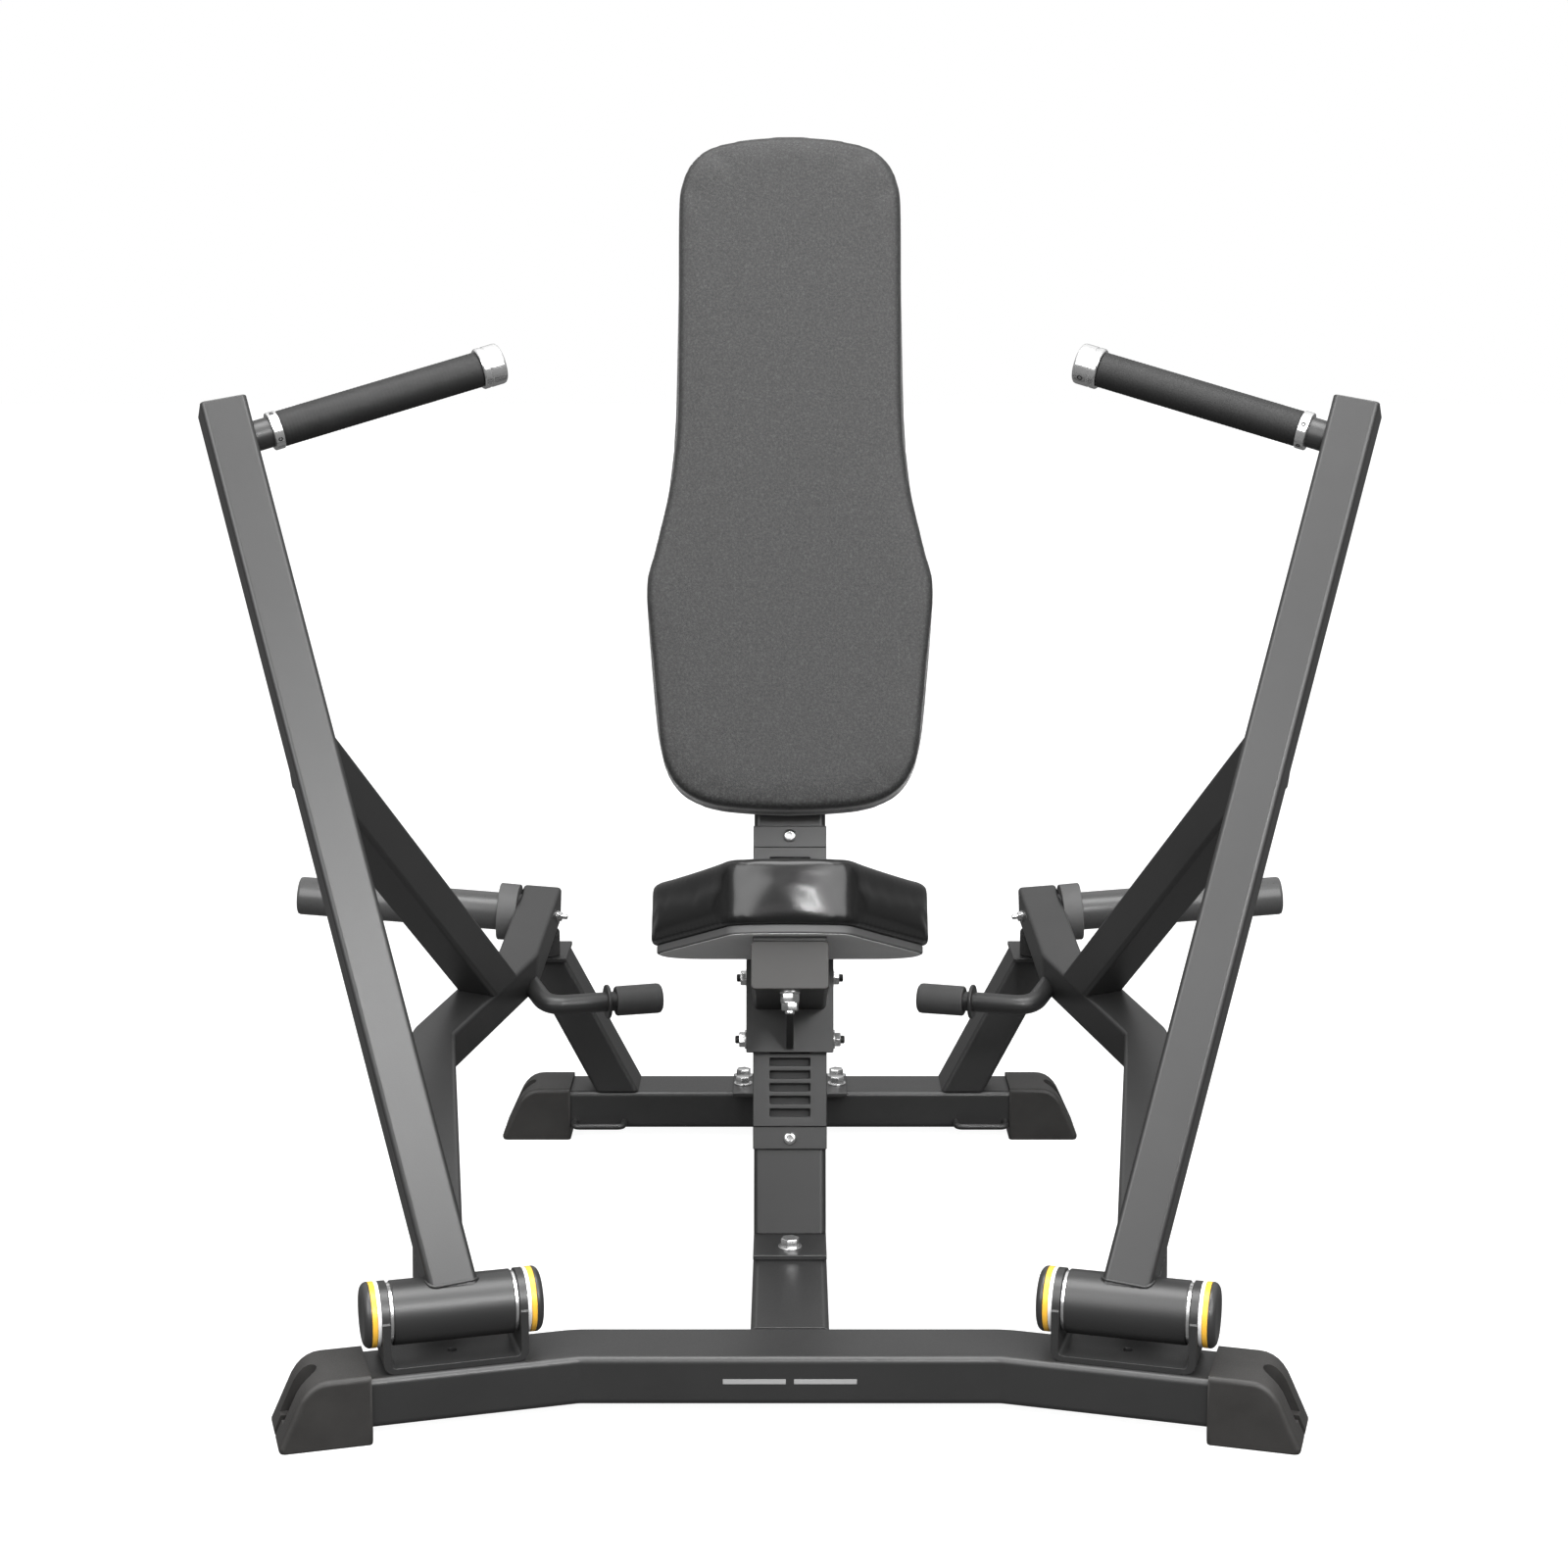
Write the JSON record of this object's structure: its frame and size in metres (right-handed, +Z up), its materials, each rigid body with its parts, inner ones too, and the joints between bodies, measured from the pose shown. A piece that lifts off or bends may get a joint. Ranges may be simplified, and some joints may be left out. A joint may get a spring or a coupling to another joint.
{
  "type": "chest press machine",
  "caption": "Plate-loaded chest press machine with two converging press arms, an adjustable tilted seat and a reclined back pad on a steel tube frame.",
  "frame": {"origin": "centre of the bounding box on the floor", "axes": "+Z up, -Y the way the sitting user faces and presses, +X to the right of somebody who looks at the front"},
  "size_m": [1.28, 1.071, 1.2742],
  "materials": {
    "frame": "satin",
    "boot": "matte",
    "rubber": "matte",
    "black_plastic": "satin",
    "chrome": "polished",
    "steel": "satin",
    "vinyl": "matte",
    "board": "matte"
  },
  "bodies": {
    "frame": {"front_base_tube": "frame", "rear_base_tube": "frame", "main_rail": "frame", "rear_joint_plate": "frame", "post": "frame", "rear_strut": "frame", "seat_rack": "frame", "back_pad_board": "board", "back_pad_cushion": "vinyl", "front_left_boot": "boot", "rear_left_boot": "boot", "front_right_boot": "boot", "rear_right_boot": "boot", "left_pivot_bracket": "frame", "left_pivot_shaft": "steel", "left_outer_pivot_cap": "black_plastic", "left_inner_pivot_cap": "black_plastic", "left_stop_upright": "frame", "left_bumper": "rubber", "left_rod_loop": "frame", "right_pivot_bracket": "frame", "right_pivot_shaft": "steel", "right_outer_pivot_cap": "black_plastic", "right_inner_pivot_cap": "black_plastic", "right_stop_upright": "frame", "right_bumper": "rubber", "right_rod_loop": "frame"},
    "left_arm": {"left_outer_bearing": "steel", "left_inner_bearing": "steel", "left_arm_housing": "frame", "left_arm_upright": "frame", "left_link": "frame", "left_brace": "frame", "left_weight_horn": "frame", "left_horn_collar": "rubber", "left_handle_bar": "steel", "left_grip": "rubber", "left_handle_cap": "chrome", "left_assist_peg": "frame", "left_peg_tip": "rubber"},
    "right_arm": {"right_outer_bearing": "steel", "right_inner_bearing": "steel", "right_arm_housing": "frame", "right_arm_upright": "frame", "right_link": "frame", "right_brace": "frame", "right_weight_horn": "frame", "right_horn_collar": "rubber", "right_handle_bar": "steel", "right_grip": "rubber", "right_handle_cap": "chrome", "right_assist_peg": "frame", "right_peg_tip": "rubber"},
    "seat": {"seat_arm": "frame", "seat_board": "board", "seat_cushion": "vinyl", "seat_carriage": "frame", "carriage_axle": "steel", "carriage_pin": "steel"},
    "seat_roller": {"carriage_roller": "black_plastic"}
  },
  "joints": [
    {"name": "left_arm_pivot", "type": "hinge", "parent": "frame", "child": "left_arm", "pos_m": [-0.33263, -0.44688, 0.1156], "axis": [0.9613, 0.2756, 0], "range_deg": [0, 35]},
    {"name": "right_arm_pivot", "type": "hinge", "parent": "frame", "child": "right_arm", "pos_m": [0.33263, -0.44688, 0.1156], "axis": [0.9613, -0.2756, 0], "range_deg": [0, 35]},
    {"name": "seat_height", "type": "slide", "parent": "frame", "child": "seat", "axis": [0, 0.2802, 0.9599], "range_m": [-0.07, 0.07]},
    {"name": "seat_roller_spin", "type": "hinge", "parent": "seat", "child": "seat_roller", "pos_m": [0, 0.02469, 0.32793], "axis": [1, 0, 0], "continuous": true}
  ]
}
